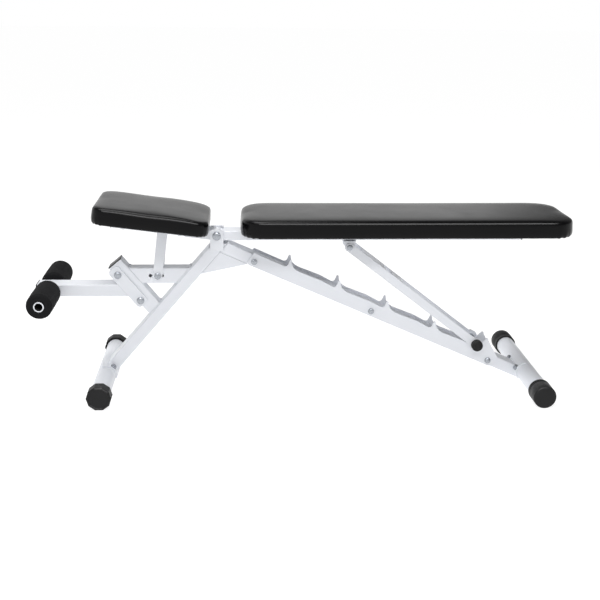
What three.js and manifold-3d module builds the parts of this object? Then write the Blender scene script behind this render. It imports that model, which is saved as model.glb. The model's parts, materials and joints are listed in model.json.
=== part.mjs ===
// Decline sit up bench: a folded-steel frame on two round foot tubes, a padded seat, a padded
// backrest propped by a strut in a five-notch rail, and a pair of foam ankle rollers.
// Millimetres, +X towards the head end, +Y towards the far side, +Z up.
import * as THREE from 'three';
import { mergeVertices } from 'three/addons/utils/BufferGeometryUtils.js';
import Module from 'manifold-3d';

const wasm = await Module();
wasm.setup();

// Driving dimensions.
const gap = 0.3;                                   // clearance between touching pieces
const wall = 1.8;                                  // tube wall
const deg = Math.PI / 180;

const pivot = { x: 0, z: 392 };                    // main hinge of seat and backrest
const frontFoot = { x: -286, z: 29.5, half: 210 }; // axes of the round foot tubes
const rearFoot = { x: 807, z: 28, half: 230 };
const footTubeR = 24;
const frontCap = { r: 31, sides: 10, length: 34 }; // ten-sided end cap, resting on a flat
const rearSleeve = { r: 28.5, length: 58 };        // long round rubber sleeve
const saddle = { thickness: 3, half: 48, boltY: 37, wrap: 62 * deg };
const socketFloor = 3.5;                           // closed end of a cap or sleeve
const holeR = { small: 4.4, pivot: 5.3, hub: 5.4 }; // round an 8 mm and a 10 mm bolt

const flatTube = { width: 50, height: 30 };        // front leg and rail, laid flat
const legTop = { x: 0, z: 363 };                   // the front leg's axis passes here
const legCut = [{ x: -40, z: 356.2 }, { x: 60, z: 380.7 }]; // its slanted upper end
const gussetPlate = { thickness: 4, y: 22, low: 289, high: 318 };
const hingePlate = { width: 34, height: 54, corner: 3, drop: 11.5, thickness: 4 };
const rail = { x: 77.7, z: 318.5, slope: 23.7 * deg, end: 786 };
const plate = {                                    // notched side plates of the rail
  thickness: 4, start: -3, end: 700, body: 33, tip: 54,
  boltZ: 13, bolts: [12, 340, 681], standOff: 1,
};
const notch = { first: 85, pitch: 136.75, count: 5 };
const rod = { r: 8, half: 51 };                    // cross rod of the strut

const seatSupport = { size: 40, z: 288, holes: [-168, -150, -138.5] };
const brace = { x: -256.5, z: 318.5, slope: 50.5 * deg, size: 40 };
const ear = { from: 5, to: 126, low: -28.5, high: 3, thickness: 4, bolts: [25.6, 112.5], boltZ: -12.5 };
const arm = { z: 251, height: 32, width: 50, left: -452.5 };
const axle = { x: -423, r: 12.5, bore: 9.5, half: 170 };
const roller = { r: 32, inner: 35, outer: 169, edge: 5 };

const plug = { lid: 2.5, stub: 10, slack: 0.9 };   // end plugs of the rectangular tubes

const padWidth = 250;
const backPad = { from: 60, length: 830, corner: 60, z: 13.2, thickness: 45.5, edge: 12 };
const backTube = { from: 17, to: 775, width: 50, height: 25 };
const seatTilt = 7.1 * deg;
const seatPad = { from: -307, length: 287, corner: 36, z: 13.2, thickness: 41, edge: 11 };
const seatTube = { from: -262, to: -20, width: 40, height: 25 };
const seatBolts = [-235, -93];
const seatBoltHole = 3.4;
const post = { x: -136, length: 121.7, width: 24, thickness: 3, web: [-82, -26] };
const board = { thickness: 12, inset: 22 };

const bracket = { x: 335, drop: 29, length: 30, half: 32.5, thickness: 3 };
const strut = { inner: 33, thickness: 3, width: 22, bossR: 17, neck: 26, webs: [[34, 112], [134, 168]] };
const grip = { r: 14.5, length: 15 };
const hub = { r: 13, half: 19.5 };                 // hinge tube at the end of the backrest tube
const seatCheek = { r: 15, back: -80, thickness: 3 };
const pivotBolt = { r: 5, acrossFlats: 17, head: 6.5, tail: 11, nut: 8.2 };

// Materials.
const finish = (color, roughness, metalness) => new THREE.MeshStandardMaterial({ color, roughness, metalness });
const paint = () => finish(0xeceef1, 0.42, 0.1);
const zinc = () => finish(0xb9bcc0, 0.32, 0.9);
const rubber = () => finish(0x1b1b1d, 0.7, 0);
const vinyl = () => finish(0x141416, 0.38, 0);
const foam = () => finish(0x202022, 0.95, 0);
const plywood = () => finish(0x2a2623, 0.85, 0);

// Solids.
function solid(geometry) {
  const bare = geometry.clone();
  bare.deleteAttribute('normal');
  bare.deleteAttribute('uv');
  const merged = mergeVertices(bare, 1e-4);
  const index = merged.index.array;
  const tris = [];
  for (let i = 0; i < index.length; i += 3) {
    const [a, b, c] = [index[i], index[i + 1], index[i + 2]];
    if (a !== b && b !== c && c !== a) tris.push(a, b, c);
  }
  return new wasm.Manifold(new wasm.Mesh({
    numProp: 3,
    vertProperties: new Float32Array(merged.attributes.position.array),
    triVerts: new Uint32Array(tris),
  }));
}

const join = (...solids) => solids.reduce((a, b) => a.add(b));
const cut = (body, ...tools) => tools.reduce((a, b) => a.subtract(b), body);

function node(name, body, material) {
  const { vertProperties, triVerts } = body.getMesh();
  const geometry = new THREE.BufferGeometry();
  geometry.setAttribute('position', new THREE.BufferAttribute(new Float32Array(vertProperties), 3));
  geometry.setIndex(new THREE.BufferAttribute(new Uint32Array(triVerts), 1));
  geometry.computeVertexNormals();
  const mesh = new THREE.Mesh(geometry, material);
  mesh.name = name;
  return mesh;
}

// A shape drawn in X and Z, as thick as the distance from y0 to y1.
function plateXZ(shape, y0, y1, curveSegments = 6) {
  const geometry = new THREE.ExtrudeGeometry(shape, { depth: y1 - y0, bevelEnabled: false, curveSegments });
  return solid(geometry.rotateX(Math.PI / 2).translate(0, y1, 0));
}

function box(x0, x1, y0, y1, z0, z1) {
  const geometry = new THREE.BoxGeometry(x1 - x0, y1 - y0, z1 - z0);
  return solid(geometry.translate((x0 + x1) / 2, (y0 + y1) / 2, (z0 + z1) / 2));
}

function rodY(r, y0, y1, x = 0, z = 0, sides = 16) {
  return solid(new THREE.CylinderGeometry(r, r, y1 - y0, sides).translate(x, (y0 + y1) / 2, z));
}

function rodZ(r, z0, z1, x = 0, y = 0, sides = 12) {
  const geometry = new THREE.CylinderGeometry(r, r, z1 - z0, sides).rotateX(Math.PI / 2);
  return solid(geometry.translate(x, y, (z0 + z1) / 2));
}

// A drill along Y through everything at one point.
const drill = (x, z, r = holeR.small, sides = 12) => rodY(r, -60, 60, x, z, sides);

// The stretch from a to b outwards from the middle, on one side of the bench.
const outwards = (side, a, b) => (side < 0 ? [-b, -a] : [a, b]);

// A profile of [radius, y] pairs turned about the Y axis; it closes on itself.
function turnedY(profile, sides = 24, x = 0, z = 0) {
  const points = [...profile, profile[0]].map(([r, y]) => new THREE.Vector2(r, y));
  return solid(new THREE.LatheGeometry(points, sides).translate(x, 0, z));
}

function roundedRect(width, height, r, x = 0, y = 0) {
  const [w, h] = [width / 2, height / 2];
  const shape = new THREE.Shape();
  shape.absarc(x + w - r, y + h - r, r, 0, Math.PI / 2);
  shape.absarc(x - w + r, y + h - r, r, Math.PI / 2, Math.PI);
  shape.absarc(x - w + r, y - h + r, r, Math.PI, 1.5 * Math.PI);
  shape.absarc(x + w - r, y - h + r, r, 1.5 * Math.PI, 2 * Math.PI);
  return shape;
}

// An open-ended tube of rounded rectangular section whose axis runs in the XZ plane from a to b.
function rectTube(a, b, width, height, corner = 3.5) {
  const shape = roundedRect(height, width, corner);
  shape.holes.push(roundedRect(height - 2 * wall, width - 2 * wall, corner - wall));
  const axis = new THREE.Vector3(b.x - a.x, 0, b.z - a.z);
  const options = { depth: axis.length(), bevelEnabled: false, curveSegments: 2 };
  const geometry = new THREE.ExtrudeGeometry(shape, options);
  const along = axis.normalize();
  const acrossY = new THREE.Vector3(0, 1, 0);
  const basis = new THREE.Matrix4().makeBasis(acrossY.clone().cross(along), acrossY, along);
  return solid(geometry.applyMatrix4(basis.setPosition(a.x, 0, a.z)));
}

// Everything on the left of the line from point a towards b, looking from the near side.
function leftOf(a, b, reach = 400) {
  const length = Math.hypot(b.x - a.x, b.z - a.z);
  const [ux, uz] = [(b.x - a.x) / length, (b.z - a.z) / length];
  const at = (along, side) => new THREE.Vector2(a.x + ux * along - uz * side, a.z + uz * along + ux * side);
  const [start, end] = [-reach, length + reach];
  const shape = new THREE.Shape([at(start, 0), at(end, 0), at(end, reach), at(start, reach)]);
  return plateXZ(shape, -reach, reach);
}

const ordered = (a, b) => [Math.min(a, b), Math.max(a, b)];

// A push-in plug for a tube along X that ends at x: a thin lid outside it and a stub inside.
function endPlug(x, outward, width, height, z = 0) {
  const { lid, stub, slack } = plug;
  const [w, h, inset] = [width / 2, height / 2, wall + slack];
  const cover = box(...ordered(x + outward * gap, x + outward * (gap + lid)), -w, w, z - h, z + h);
  const stubSpan = ordered(x - outward * stub, x + outward * (gap + 1));
  return join(cover, box(...stubSpan, inset - w, w - inset, z + inset - h, z + h - inset));
}

function hexHead(acrossFlats, y0, y1, x, z) {
  const r = acrossFlats / 2 / Math.cos(Math.PI / 6);
  return solid(new THREE.CylinderGeometry(r, r, y1 - y0, 6).translate(x, (y0 + y1) / 2, z));
}

// A hexagon bolt along Y with its head on the near side.
function boltY(name, { x, z, seat, tip, r, acrossFlats, head }) {
  const shank = rodY(r, seat - 0.5, tip, x, z, 12);
  return node(name, join(hexHead(acrossFlats, seat - head, seat, x, z), shank), zinc());
}

const shifted = (point, angle, distance) => ({
  x: point.x + distance * Math.cos(angle), z: point.z + distance * Math.sin(angle),
});

// Front leg, rail and hinge ears.
const sides = [['near', -1], ['far', 1]];
const legAngle = Math.atan2(legTop.z - frontFoot.z, legTop.x - frontFoot.x);
const legHalf = flatTube.height / 2;
const legEdge = (side, extra = 0) => {
  const a = shifted(frontFoot, legAngle + side * Math.PI / 2, legHalf + extra);
  return [a, shifted(a, legAngle, 300)];
};
const railAt = (s, n) => ({
  x: rail.x + s * Math.cos(rail.slope) + n * Math.sin(rail.slope),
  z: rail.z - s * Math.sin(rail.slope) + n * Math.cos(rail.slope),
});
const saddleR = footTubeR + gap + saddle.thickness;
const footClearance = (foot) => rodY(saddleR + gap, -100, 100, foot.x, foot.z, 32);

function frontLeg() {
  const tube = rectTube(frontFoot, shifted(legTop, legAngle, 60), flatTube.width, flatTube.height);
  return cut(tube, leftOf(...legCut), footClearance(frontFoot));
}

function railTube() {
  const tube = rectTube(railAt(-120, 15), railAt(rail.end, 15), flatTube.width, flatTube.height);
  const holes = plate.bolts.map((s) => {
    const at = railAt(s, plate.boltZ);
    return drill(at.x, at.z);
  });
  const [a, b] = legEdge(-1, gap);
  return cut(tube, leftOf(a, b), footClearance(rearFoot), ...holes);
}

// The triangle that ties leg and rail together below the hinge.
function gusset(side) {
  const { thickness, y, low, high } = gussetPlate;
  const [x0, x1, top] = [-60, rail.x - 2, 420];      // the cuts below trim it to leg and rail
  const shape = new THREE.Shape([[x0, low], [x1, high], [x1, top], [x0, top]].map(
    ([x, z]) => new THREE.Vector2(x, z)));
  const [a, b] = legEdge(-1, gap);
  const blank = plateXZ(shape, side * y - thickness / 2, side * y + thickness / 2);
  return cut(blank, leftOf(a, b), leftOf(railAt(-100, -gap), railAt(0, -gap)));
}

function hingeEar(side) {
  const { width, height, corner, drop, thickness } = hingePlate;
  const shape = roundedRect(width, height, corner, pivot.x, pivot.z - drop);
  const inner = flatTube.width / 2 + gap;
  const blank = plateXZ(shape, ...outwards(side, inner, inner + thickness));
  return cut(blank, drill(pivot.x, pivot.z, holeR.pivot, 16));
}

// Notched plates.
// Side outline in rail coordinates: a low body with a fin behind each pocket and a tall end hook.
function notchShape() {
  const shape = new THREE.Shape();
  const floor = plate.body;
  shape.moveTo(plate.start, 8);
  shape.absarc(plate.start + 8, 8, 8, Math.PI, 1.5 * Math.PI);
  shape.absarc(plate.end - 14, 14, 14, -Math.PI / 2, 0);
  const wallAt = (k) => notch.first + k * notch.pitch + rod.r + gap;
  const last = wallAt(notch.count - 1);
  shape.lineTo(plate.end, floor - 2);
  shape.lineTo(last + 18, plate.tip + 9);
  shape.absarc(last + 14, plate.tip + 9, 4, 0, Math.PI);
  for (let k = notch.count - 1; k >= 0; k--) {
    const x = wallAt(k);
    if (k < notch.count - 1) {
      shape.lineTo(x + 34, floor + 1);
      shape.quadraticCurveTo(x + 12, floor + 2, x + 5.5, plate.tip - 2);
      shape.absarc(x + 3, plate.tip - 3, 3, 0.4, Math.PI);
    }
    shape.lineTo(x, floor + rod.r);
    shape.absarc(x - rod.r, floor + rod.r, rod.r, 0, -Math.PI / 2, true);
    shape.lineTo(k > 0 ? x - rod.r - 34 : plate.start + 6, k > 0 ? floor + 3 : floor + 1);
  }
  return shape;
}

function notchPlate(side) {
  const inner = flatTube.width / 2 + plate.standOff;
  const span = outwards(side, inner, inner + plate.thickness);
  return cut(plateXZ(notchShape(), ...span, 4), ...plate.bolts.map((s) => drill(s, plate.boltZ)));
}

const railGroup = new THREE.Group();
railGroup.position.set(rail.x, 0, rail.z);
railGroup.rotation.y = rail.slope;
for (const [name, side] of sides) railGroup.add(node(`notch_plate_${name}`, notchPlate(side), paint()));
['front', 'middle', 'rear'].forEach((place, i) => {
  const outer = flatTube.width / 2 + plate.standOff + plate.thickness;
  railGroup.add(boltY(`plate_bolt_${place}`, {
    x: plate.bolts[i], z: plate.boltZ, seat: -outer - gap, tip: outer + 9, r: 4, acrossFlats: 13, head: 5.5,
  }));
});

// Feet.
function footTube(foot) {
  const [ro, ri, h] = [footTubeR, footTubeR - wall, foot.half - 4];
  return turnedY([[ri, -h], [ro, -h], [ro, h], [ri, h]], 24, foot.x, foot.z);
}

// Bolt holes and bolts of a saddle point along the tube that it carries.
function towardsFoot(geometry, foot, angle, y) {
  const turned = geometry.rotateZ(-Math.PI / 2).rotateY(-angle);
  return solid(turned.translate(foot.x, y, foot.z));
}
const saddleHoles = (foot, angle) => [-1, 1].map((side) => {
  const tool = new THREE.CylinderGeometry(holeR.small, holeR.small, 40, 12).translate(0, 25, 0);
  return towardsFoot(tool, foot, angle, side * saddle.boltY);
});

function saddlePlate(foot, angle) {
  const [ri, ro] = [footTubeR + gap, saddleR];
  const shape = new THREE.Shape();
  shape.absarc(foot.x, foot.z, ro, angle - saddle.wrap, angle + saddle.wrap);
  shape.absarc(foot.x, foot.z, ri, angle + saddle.wrap, angle - saddle.wrap, true);
  return cut(plateXZ(shape, -saddle.half, saddle.half, 12), ...saddleHoles(foot, angle));
}

function saddleBolt(foot, angle, side) {
  const head = new THREE.CylinderGeometry(7.5, 7.5, 5.3, 6).translate(0, saddleR + gap + 2.65, 0);
  const shank = new THREE.CylinderGeometry(4, 4, 12, 12).translate(0, saddleR - 5.5, 0);
  const at = side * saddle.boltY;
  return join(towardsFoot(head, foot, angle, at), towardsFoot(shank, foot, angle, at));
}

// A cap closed at the outer end, with its tube socket open towards the bench.
function capShape(outline, foot, length, side) {
  const outer = side * foot.half;
  const inner = side * (foot.half - length);
  const face = side * (foot.half - socketFloor);
  const socket = rodY(footTubeR + gap, ...ordered(inner - side, face), foot.x, foot.z, 24);
  return cut(outline(...ordered(inner, outer)), socket);
}

const frontCapOutline = (y0, y1) => {
  const geometry = new THREE.CylinderGeometry(frontCap.r, frontCap.r, y1 - y0, frontCap.sides);
  return solid(geometry.rotateY(Math.PI / frontCap.sides).translate(frontFoot.x, (y0 + y1) / 2, frontFoot.z));
};
const rearSleeveOutline = (y0, y1) => {
  const round = rodY(rearSleeve.r, y0, y1, rearFoot.x, rearFoot.z, 32);
  return cut(round, box(rearFoot.x - 50, rearFoot.x + 50, y0 - 1, y1 + 1, -10, 0));
};

const frame = new THREE.Group();
frame.add(node('front_leg', frontLeg(), paint()), node('rail_tube', railTube(), paint()), railGroup);
for (const [name, side] of sides) {
  frame.add(node(`gusset_${name}`, gusset(side), paint()), node(`hinge_ear_${name}`, hingeEar(side), paint()));
}

function addFoot(name, foot, angle, cap, outline, length) {
  frame.add(node(`${name}_foot_tube`, cut(footTube(foot), ...saddleHoles(foot, angle)), paint()));
  frame.add(node(`${name}_saddle`, saddlePlate(foot, angle), paint()));
  for (const [end, side] of sides) {
    frame.add(node(`${cap}_${end}`, capShape(outline, foot, length, side), rubber()));
    frame.add(node(`${name}_saddle_bolt_${end}`, saddleBolt(foot, angle, side), zinc()));
  }
}
addFoot('front', frontFoot, legAngle, 'front_cap', frontCapOutline, frontCap.length);
addFoot('rear', rearFoot, Math.PI - rail.slope, 'rear_sleeve', rearSleeveOutline, rearSleeve.length);

// Brace and seat support tube.
const braceAt = (s, n) => ({
  x: brace.x + s * Math.cos(brace.slope) + n * Math.sin(brace.slope),
  z: brace.z - s * Math.sin(brace.slope) + n * Math.cos(brace.slope),
});
const earHoles = () => ear.bolts.map((s) => {
  const at = braceAt(s, ear.boltZ);
  return drill(at.x, at.z);
});

function braceTube() {
  const tube = rectTube(braceAt(0, 0), braceAt(200, 0), brace.size, brace.size);
  const [a, b] = legEdge(1, gap);
  return cut(tube, leftOf(b, a), ...earHoles());
}

function seatSupportTube() {
  const { size, z, holes } = seatSupport;
  const tube = rectTube({ x: -300, z }, { x: 0, z }, size, size);
  const [a, b] = legEdge(1, gap);
  const edge = brace.size / 2 + gap;
  const braceSide = leftOf(braceAt(200, edge), braceAt(0, edge));
  return cut(tube, leftOf(b, a), braceSide, ...holes.map((x) => drill(x, z)));
}

const braceGroup = new THREE.Group();
braceGroup.position.set(brace.x, 0, brace.z);
braceGroup.rotation.y = brace.slope;
braceGroup.add(node('brace_end_plug', endPlug(0, -1, brace.size, brace.size), rubber()));
frame.add(node('brace_tube', braceTube(), paint()));
frame.add(node('seat_support_tube', seatSupportTube(), paint()), braceGroup);

// Roller arm.
for (const [name, side] of sides) {
  const { from, to, low, high, thickness } = ear;
  const shape = roundedRect(to - from, high - low, 9, (to + from) / 2, (high + low) / 2);
  const inner = brace.size / 2 + gap;
  const blank = plateXZ(shape, ...outwards(side, inner, inner + thickness), 4);
  const holed = cut(blank, ...ear.bolts.map((s) => drill(s, ear.boltZ)));
  braceGroup.add(node(`arm_ear_${name}`, holed, paint()));
}
['upper', 'lower'].forEach((place, i) => {
  const outer = brace.size / 2 + gap + ear.thickness;
  braceGroup.add(boltY(`arm_bolt_${place}`, {
    x: ear.bolts[i], z: ear.boltZ, seat: -outer - gap, tip: outer + 10, r: 4, acrossFlats: 15, head: 6,
  }));
});

function rollerArm() {
  const tube = rectTube({ x: arm.left, z: arm.z }, { x: -150, z: arm.z }, arm.width, arm.height);
  const edge = ear.low - gap;
  return cut(tube, leftOf(braceAt(0, edge), braceAt(200, edge)), drill(axle.x, arm.z, axle.r + gap, 24));
}

const { r: axleR, bore, half: axleHalf } = axle;
const axleRing = [[bore, -axleHalf], [axleR, -axleHalf], [axleR, axleHalf], [bore, axleHalf]];
frame.add(
  node('roller_arm', rollerArm(), paint()),
  node('arm_end_plug', endPlug(arm.left, -1, arm.width, arm.height, arm.z), rubber()),
  node('axle_tube', turnedY(axleRing, 24, axle.x, arm.z), paint()),
);

// Main pivot.
const earOuter = flatTube.width / 2 + gap + hingePlate.thickness;
const nutSeat = earOuter + gap;
const nut = hexHead(pivotBolt.acrossFlats, nutSeat, nutSeat + pivotBolt.nut, pivot.x, pivot.z);
frame.add(
  boltY('pivot_bolt', { ...pivot, ...pivotBolt, seat: -nutSeat, tip: earOuter + pivotBolt.tail }),
  node('pivot_nut', cut(nut, drill(pivot.x, pivot.z, holeR.pivot, 16)), zinc()),
);

// Upholstery.
// A pad with its plan corners and its top and bottom edges rounded, and a recess for its board.
function padSolid({ from, length, corner, z, thickness, edge }) {
  const centre = from + length / 2;
  const plan = roundedRect(length - 2 * edge, padWidth - 2 * edge, corner - edge, centre, 0);
  const geometry = new THREE.ExtrudeGeometry(plan, {
    depth: thickness - 1.4 * edge, bevelThickness: edge * 0.7, bevelSize: edge, bevelSegments: 2, curveSegments: 4,
  });
  const body = solid(geometry.translate(0, 0, z + edge * 0.7));
  return cut(body, boardSolid({ from, length, corner, z: z - 1 }, -gap, 1 + gap));
}

function boardSolid({ from, length, corner, z }, grow = 0, extra = 0) {
  const inset = board.inset + grow;
  const plan = roundedRect(length - 2 * inset, padWidth - 2 * inset, corner - board.inset, from + length / 2, 0);
  const options = { depth: board.thickness + extra, bevelEnabled: false, curveSegments: 4 };
  return solid(new THREE.ExtrudeGeometry(plan, options).translate(0, 0, z));
}

// Backrest, in axes at the main pivot.
const backrest = new THREE.Group();
backrest.position.set(pivot.x, 0, pivot.z);

function backrestTube() {
  const tube = rectTube({ x: backTube.from, z: 0 }, { x: backTube.to, z: 0 }, backTube.width, backTube.height);
  const barrel = rodY(hub.r, -hub.half, hub.half, 0, 0, 24);
  const cheeks = box(6, backTube.from + 1, -hub.half, hub.half, -9, 9);
  const [w, h] = [backTube.width / 2 - 0.5, backTube.height / 2 - 0.5];
  const endPlate = box(backTube.from + 0.2, backTube.from + 3, -w, w, -h, h);
  return cut(join(tube, barrel, cheeks, endPlate), drill(0, 0, holeR.hub, 16));
}

const strutPivot = { x: bracket.x, z: -bracket.drop };
function strutBracket() {
  const top = -backTube.height / 2 - gap;
  const [x0, x1] = [bracket.x - bracket.length / 2, bracket.x + bracket.length / 2];
  const shape = new THREE.Shape();
  shape.moveTo(x1, top);
  shape.lineTo(x0, top);
  shape.absarc(strutPivot.x, strutPivot.z, 12, Math.PI, 2 * Math.PI);
  const hollow = box(x0 - 1, x1 + 1, -bracket.half + bracket.thickness, bracket.half - bracket.thickness,
    -bracket.drop - 30, top - bracket.thickness);
  return cut(plateXZ(shape, -bracket.half, bracket.half), hollow, drill(strutPivot.x, strutPivot.z));
}

backrest.add(
  node('backrest_tube', backrestTube(), paint()),
  node('backrest_tube_plug', endPlug(backTube.to, 1, backTube.width, backTube.height), rubber()),
  node('backrest_board', boardSolid(backPad), plywood()),
  node('backrest_pad', padSolid(backPad), vinyl()),
  node('strut_bracket', strutBracket(), paint()),
  boltY('strut_pin', {
    ...strutPivot, seat: -strut.inner - strut.thickness - gap, tip: strut.inner + strut.thickness + 8,
    r: 4, acrossFlats: 13, head: 5,
  }),
);

// Strut, in axes at its pivot, with X down its length.
const rodHome = railAt(notch.first + (notch.count - 1) * notch.pitch, plate.body + rod.r + gap);
const reach = { x: rodHome.x - pivot.x - strutPivot.x, z: rodHome.z - pivot.z - strutPivot.z };
const strutLength = Math.hypot(reach.x, reach.z);
const strutGroup = new THREE.Group();
strutGroup.position.set(strutPivot.x, 0, strutPivot.z);
strutGroup.rotation.y = Math.atan2(-reach.z, reach.x);

function strutSolid() {
  const bar = new THREE.Shape();
  const { bossR, neck } = strut;
  const half = strut.width / 2;
  bar.absarc(0, 0, half, Math.PI / 2, 1.5 * Math.PI);
  bar.lineTo(strutLength - neck, -half);
  bar.absarc(strutLength, 0, bossR, Math.PI + 0.75, Math.PI - 0.75);
  bar.lineTo(strutLength - neck, half);
  const [y0, y1] = [strut.inner, strut.inner + strut.thickness];
  const webs = strut.webs.map(([x0, x1]) => box(x0, x1, -y0 - 1, y0 + 1, half - strut.thickness, half));
  return cut(join(plateXZ(bar, y0, y1), plateXZ(bar, -y1, -y0), ...webs),
    drill(0, 0), drill(strutLength, 0, rod.r + gap, 16));
}

strutGroup.add(
  node('strut', strutSolid(), paint()),
  node('cross_rod', rodY(rod.r, -rod.half, rod.half, strutLength, 0), zinc()),
);
for (const [name, side] of sides) {
  const inner = strut.inner + strut.thickness + gap;
  const knob = rodY(grip.r, ...outwards(side, inner, inner + grip.length), strutLength, 0, 20);
  const body = cut(knob, rodY(rod.r + gap, ...outwards(side, 0, rod.half + gap), strutLength, 0));
  strutGroup.add(node(`grip_${name}`, body, rubber()));
}
backrest.add(strutGroup);

// Seat, in tilted axes at the main pivot.
const seat = new THREE.Group();
seat.position.set(pivot.x, 0, pivot.z);
seat.rotation.y = seatTilt;

function seatTubeSolid() {
  const tube = rectTube({ x: seatTube.from, z: 0 }, { x: seatTube.to, z: 0 }, seatTube.width, seatTube.height);
  return cut(tube, drill(post.x, 0), ...seatBolts.map((x) => rodZ(seatBoltHole, -30, 30, x)));
}

function seatPlate(side) {
  const half = seatTube.height / 2;
  const shape = new THREE.Shape();
  shape.absarc(0, 0, seatCheek.r, -2.15, 2.15);
  shape.lineTo(seatCheek.back, half);
  shape.lineTo(seatCheek.back, -half);
  const inner = seatTube.width / 2 + gap;
  const span = outwards(side, inner, inner + seatCheek.thickness);
  return cut(plateXZ(shape, ...span, 10), drill(0, 0, holeR.pivot, 16));
}

function domeBolt(x) {
  const under = -seatTube.height / 2 - gap;
  const points = [[0, 22], [3, 22], [3, under], [8, under], [6.8, under - 2.6], [4, under - 4.2], [0, under - 4.6]];
  const profile = points.map(([r, z]) => new THREE.Vector2(r, z)).reverse();
  const geometry = new THREE.LatheGeometry(profile, 16);
  return solid(geometry.rotateX(Math.PI / 2).translate(x, 0, 0));
}

const boardHoles = seatBolts.map((x) => rodZ(seatBoltHole, 0, 22 + gap, x));
seat.add(
  node('seat_tube', seatTubeSolid(), paint()),
  node('seat_tube_plug', endPlug(seatTube.from, -1, seatTube.width, seatTube.height), rubber()),
  node('seat_board', cut(boardSolid(seatPad), ...boardHoles), plywood()),
  node('seat_pad', padSolid(seatPad), vinyl()),
);
for (const [name, side] of sides) seat.add(node(`seat_plate_${name}`, seatPlate(side), paint()));
['front', 'rear'].forEach((place, i) => seat.add(node(`seat_bolt_${place}`, domeBolt(seatBolts[i]), zinc())));

// Seat post, hanging from a pin in the seat tube.
const postGroup = new THREE.Group();
postGroup.position.set(post.x, 0, 0);
const postInner = seatSupport.size / 2 + 0.5;
const postOuter = postInner + post.thickness;
seat.add(boltY('post_top_pin', {
  x: post.x, z: 0, seat: -postOuter - gap, tip: postOuter + 8, r: 4, acrossFlats: 13, head: 5,
}));

function seatPost() {
  const half = post.width / 2;
  const flange = new THREE.Shape();
  flange.absarc(0, 0, half, 0, Math.PI);
  flange.absarc(0, -post.length, half, Math.PI, 2 * Math.PI);
  const web = box(half - post.thickness, half, -postInner - 1, postInner + 1, ...post.web);
  const cheeks = [plateXZ(flange, postInner, postOuter), plateXZ(flange, -postOuter, -postInner)];
  return cut(join(...cheeks, web), drill(0, 0), drill(0, -post.length));
}

postGroup.add(node('seat_post', seatPost(), paint()));
for (const [name, side] of sides) {
  const headSpan = outwards(side, postOuter + gap, postOuter + gap + 5.5);
  const shankSpan = outwards(side, postInner, postOuter + 1);
  const head = hexHead(15, ...headSpan, 0, -post.length);
  const bolt = join(head, rodY(4, ...shankSpan, 0, -post.length, 12));
  postGroup.add(node(`post_bolt_${name}`, bolt, zinc()));
}
seat.add(postGroup);

// Ankle rollers.
const rollers = new THREE.Group();
rollers.position.set(axle.x, 0, arm.z);
for (const [name, side] of sides) {
  const [a, b] = outwards(side, roller.inner, roller.outer);
  const [ri, ro, e] = [axle.r + 0.5, roller.r, roller.edge];
  const profile = [[ri, a], [ro - e, a], [ro, a + e], [ro, b - e], [ro - e, b], [ri, b]];
  rollers.add(node(`foam_roller_${name}`, turnedY(profile, 24), foam()));
}

// Assembly, centred over its own footprint.
const bench = new THREE.Group();
bench.add(frame, backrest, seat, rollers);
bench.updateMatrixWorld(true);
const extent = new THREE.Box3().setFromObject(bench, true);
const middle = extent.getCenter(new THREE.Vector3());
bench.position.set(-middle.x, -middle.y, -extent.min.z);

const object = new THREE.Group();
object.add(bench);
export default object;
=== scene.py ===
# Decline sit up bench: white powder-coated steel, black vinyl pads, black foam ankle rollers.
# Metres, +X towards the head end, +Y towards the far side, +Z up.
import json
import math
import bmesh
import bpy
import numpy as np
from mathutils import Matrix, Vector, noise
from mathutils.bvhtree import BVHTree


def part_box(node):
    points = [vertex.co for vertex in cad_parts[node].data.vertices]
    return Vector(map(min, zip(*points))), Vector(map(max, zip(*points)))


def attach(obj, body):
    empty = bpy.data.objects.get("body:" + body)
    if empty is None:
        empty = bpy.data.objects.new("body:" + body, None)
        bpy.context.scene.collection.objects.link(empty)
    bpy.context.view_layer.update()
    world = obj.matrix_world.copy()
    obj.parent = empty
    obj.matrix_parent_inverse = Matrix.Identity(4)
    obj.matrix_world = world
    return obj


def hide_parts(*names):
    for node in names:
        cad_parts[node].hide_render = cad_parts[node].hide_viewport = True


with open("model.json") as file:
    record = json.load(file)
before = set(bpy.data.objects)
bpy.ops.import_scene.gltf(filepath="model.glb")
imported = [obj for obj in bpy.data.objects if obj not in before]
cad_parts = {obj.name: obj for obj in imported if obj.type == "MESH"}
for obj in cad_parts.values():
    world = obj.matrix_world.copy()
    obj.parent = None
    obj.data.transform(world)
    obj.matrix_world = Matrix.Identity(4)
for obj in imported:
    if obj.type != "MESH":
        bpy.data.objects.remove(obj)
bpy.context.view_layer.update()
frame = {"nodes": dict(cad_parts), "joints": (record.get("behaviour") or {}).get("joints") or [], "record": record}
nodes = frame["nodes"]
scene = bpy.context.scene
mm = 0.001
sideOf = {"near": -1, "far": 1}
print("frame loaded:", len(nodes), "nodes")


# colours and nodes
def linear(hexColour):  # sRGB hex to linear RGBA
    parts = [int(hexColour[i:i + 2], 16) / 255 for i in (1, 3, 5)]
    return (*[c / 12.92 if c <= 0.04045 else ((c + 0.055) / 1.055) ** 2.4 for c in parts], 1)


def put(tree, kind, sockets=None, **settings):  # adds one node with its settings and links
    node = tree.nodes.new(kind)
    for key, value in settings.items():
        setattr(node, key, value)
    for key, value in (sockets or {}).items():
        if isinstance(value, bpy.types.NodeSocket):
            tree.links.new(value, node.inputs[key])
        else:
            node.inputs[key].default_value = value
    return node


def perMetre(millimetres):  # texture scale that gives a pattern of this size
    return 1000 / millimetres


def putNoise(tree, place, millimetres, detail):
    sockets = {"Vector": place, "Scale": perMetre(millimetres), "Detail": detail}
    return put(tree, "ShaderNodeTexNoise", sockets)


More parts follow.
